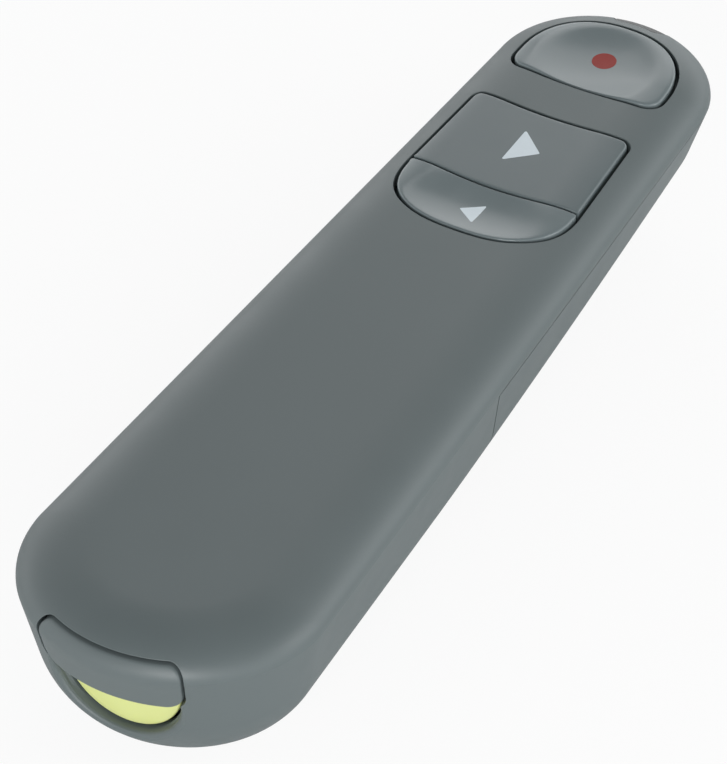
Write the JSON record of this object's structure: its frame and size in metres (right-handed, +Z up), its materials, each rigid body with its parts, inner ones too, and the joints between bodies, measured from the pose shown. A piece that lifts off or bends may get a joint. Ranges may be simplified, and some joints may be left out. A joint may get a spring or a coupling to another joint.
{
  "type": "presentation clicker",
  "caption": "Hand-held wireless presentation clicker: tapered rounded casing with laser, forward and back keys, a battery door underneath and a USB receiver parked in its tail.",
  "frame": {"origin": "under the middle of the casing, on the surface it lies on", "axes": "+Y towards the nose, +Z up out of the key face, +X to the right seen from the tail"},
  "size_m": [0.0366, 0.127, 0.0219],
  "materials": {
    "casing": "satin",
    "gloss_key": "gloss",
    "satin_key": "satin",
    "window": "gloss",
    "lime": "gloss",
    "dark_plastic": "satin",
    "stem_plastic": "satin",
    "board": "satin",
    "chip": "matte",
    "ceramic": "matte",
    "can_steel": "satin",
    "barrel_brass": "satin",
    "lens_glass": "gloss",
    "cell_sleeve": "satin",
    "contact_steel": "satin",
    "screw_steel": "satin",
    "plug_steel": "satin",
    "tongue_plastic": "matte",
    "gold": "gloss"
  },
  "bodies": {
    "casing": {"top_shell": "casing", "bottom_shell": "casing", "nose_window": "window", "main_board": "board", "laser_switch": "can_steel", "forward_switch": "can_steel", "back_switch": "can_steel", "controller_chip": "chip", "radio_module": "can_steel", "clock_crystal": "can_steel", "chip_parts": "ceramic", "laser_barrel": "barrel_brass", "laser_diode": "can_steel", "laser_lens": "lens_glass", "battery_tray": "dark_plastic", "battery_left": "cell_sleeve", "battery_right": "cell_sleeve", "tail_contact": "contact_steel", "front_contact_plus": "contact_steel", "front_contact_minus": "contact_steel", "tail_spring": "contact_steel", "front_spring": "contact_steel", "casing_screws": "screw_steel"},
    "laser_button": {"laser_key": "gloss_key", "laser_stem": "stem_plastic"},
    "forward_button": {"forward_key": "satin_key", "forward_stem": "stem_plastic"},
    "back_button": {"back_key": "gloss_key", "back_stem": "stem_plastic"},
    "receiver": {"receiver_cap": "casing", "receiver_body": "lime", "receiver_board": "board", "receiver_chip": "chip", "usb_shell": "plug_steel", "usb_tongue": "tongue_plastic", "usb_contacts": "gold"},
    "door": {"battery_door": "casing"}
  },
  "joints": [
    {"name": "laser_press", "type": "slide", "parent": "casing", "child": "laser_button", "axis": [0, 0, -1], "range_m": [0, 0.0004], "stiffness_N_per_m": 800},
    {"name": "forward_press", "type": "slide", "parent": "casing", "child": "forward_button", "axis": [0, 0, -1], "range_m": [0, 0.0004], "stiffness_N_per_m": 800},
    {"name": "back_press", "type": "slide", "parent": "casing", "child": "back_button", "axis": [0, 0, -1], "range_m": [0, 0.0004], "stiffness_N_per_m": 800},
    {"name": "receiver_slide", "type": "slide", "parent": "casing", "child": "receiver", "axis": [0, -1, 0], "range_m": [0, 0.036]},
    {"name": "door_swing", "type": "hinge", "parent": "casing", "child": "door", "pos_m": [0, -0.0515, 0.0004], "axis": [-1, 0, 0], "range_deg": [0, 35]}
  ]
}
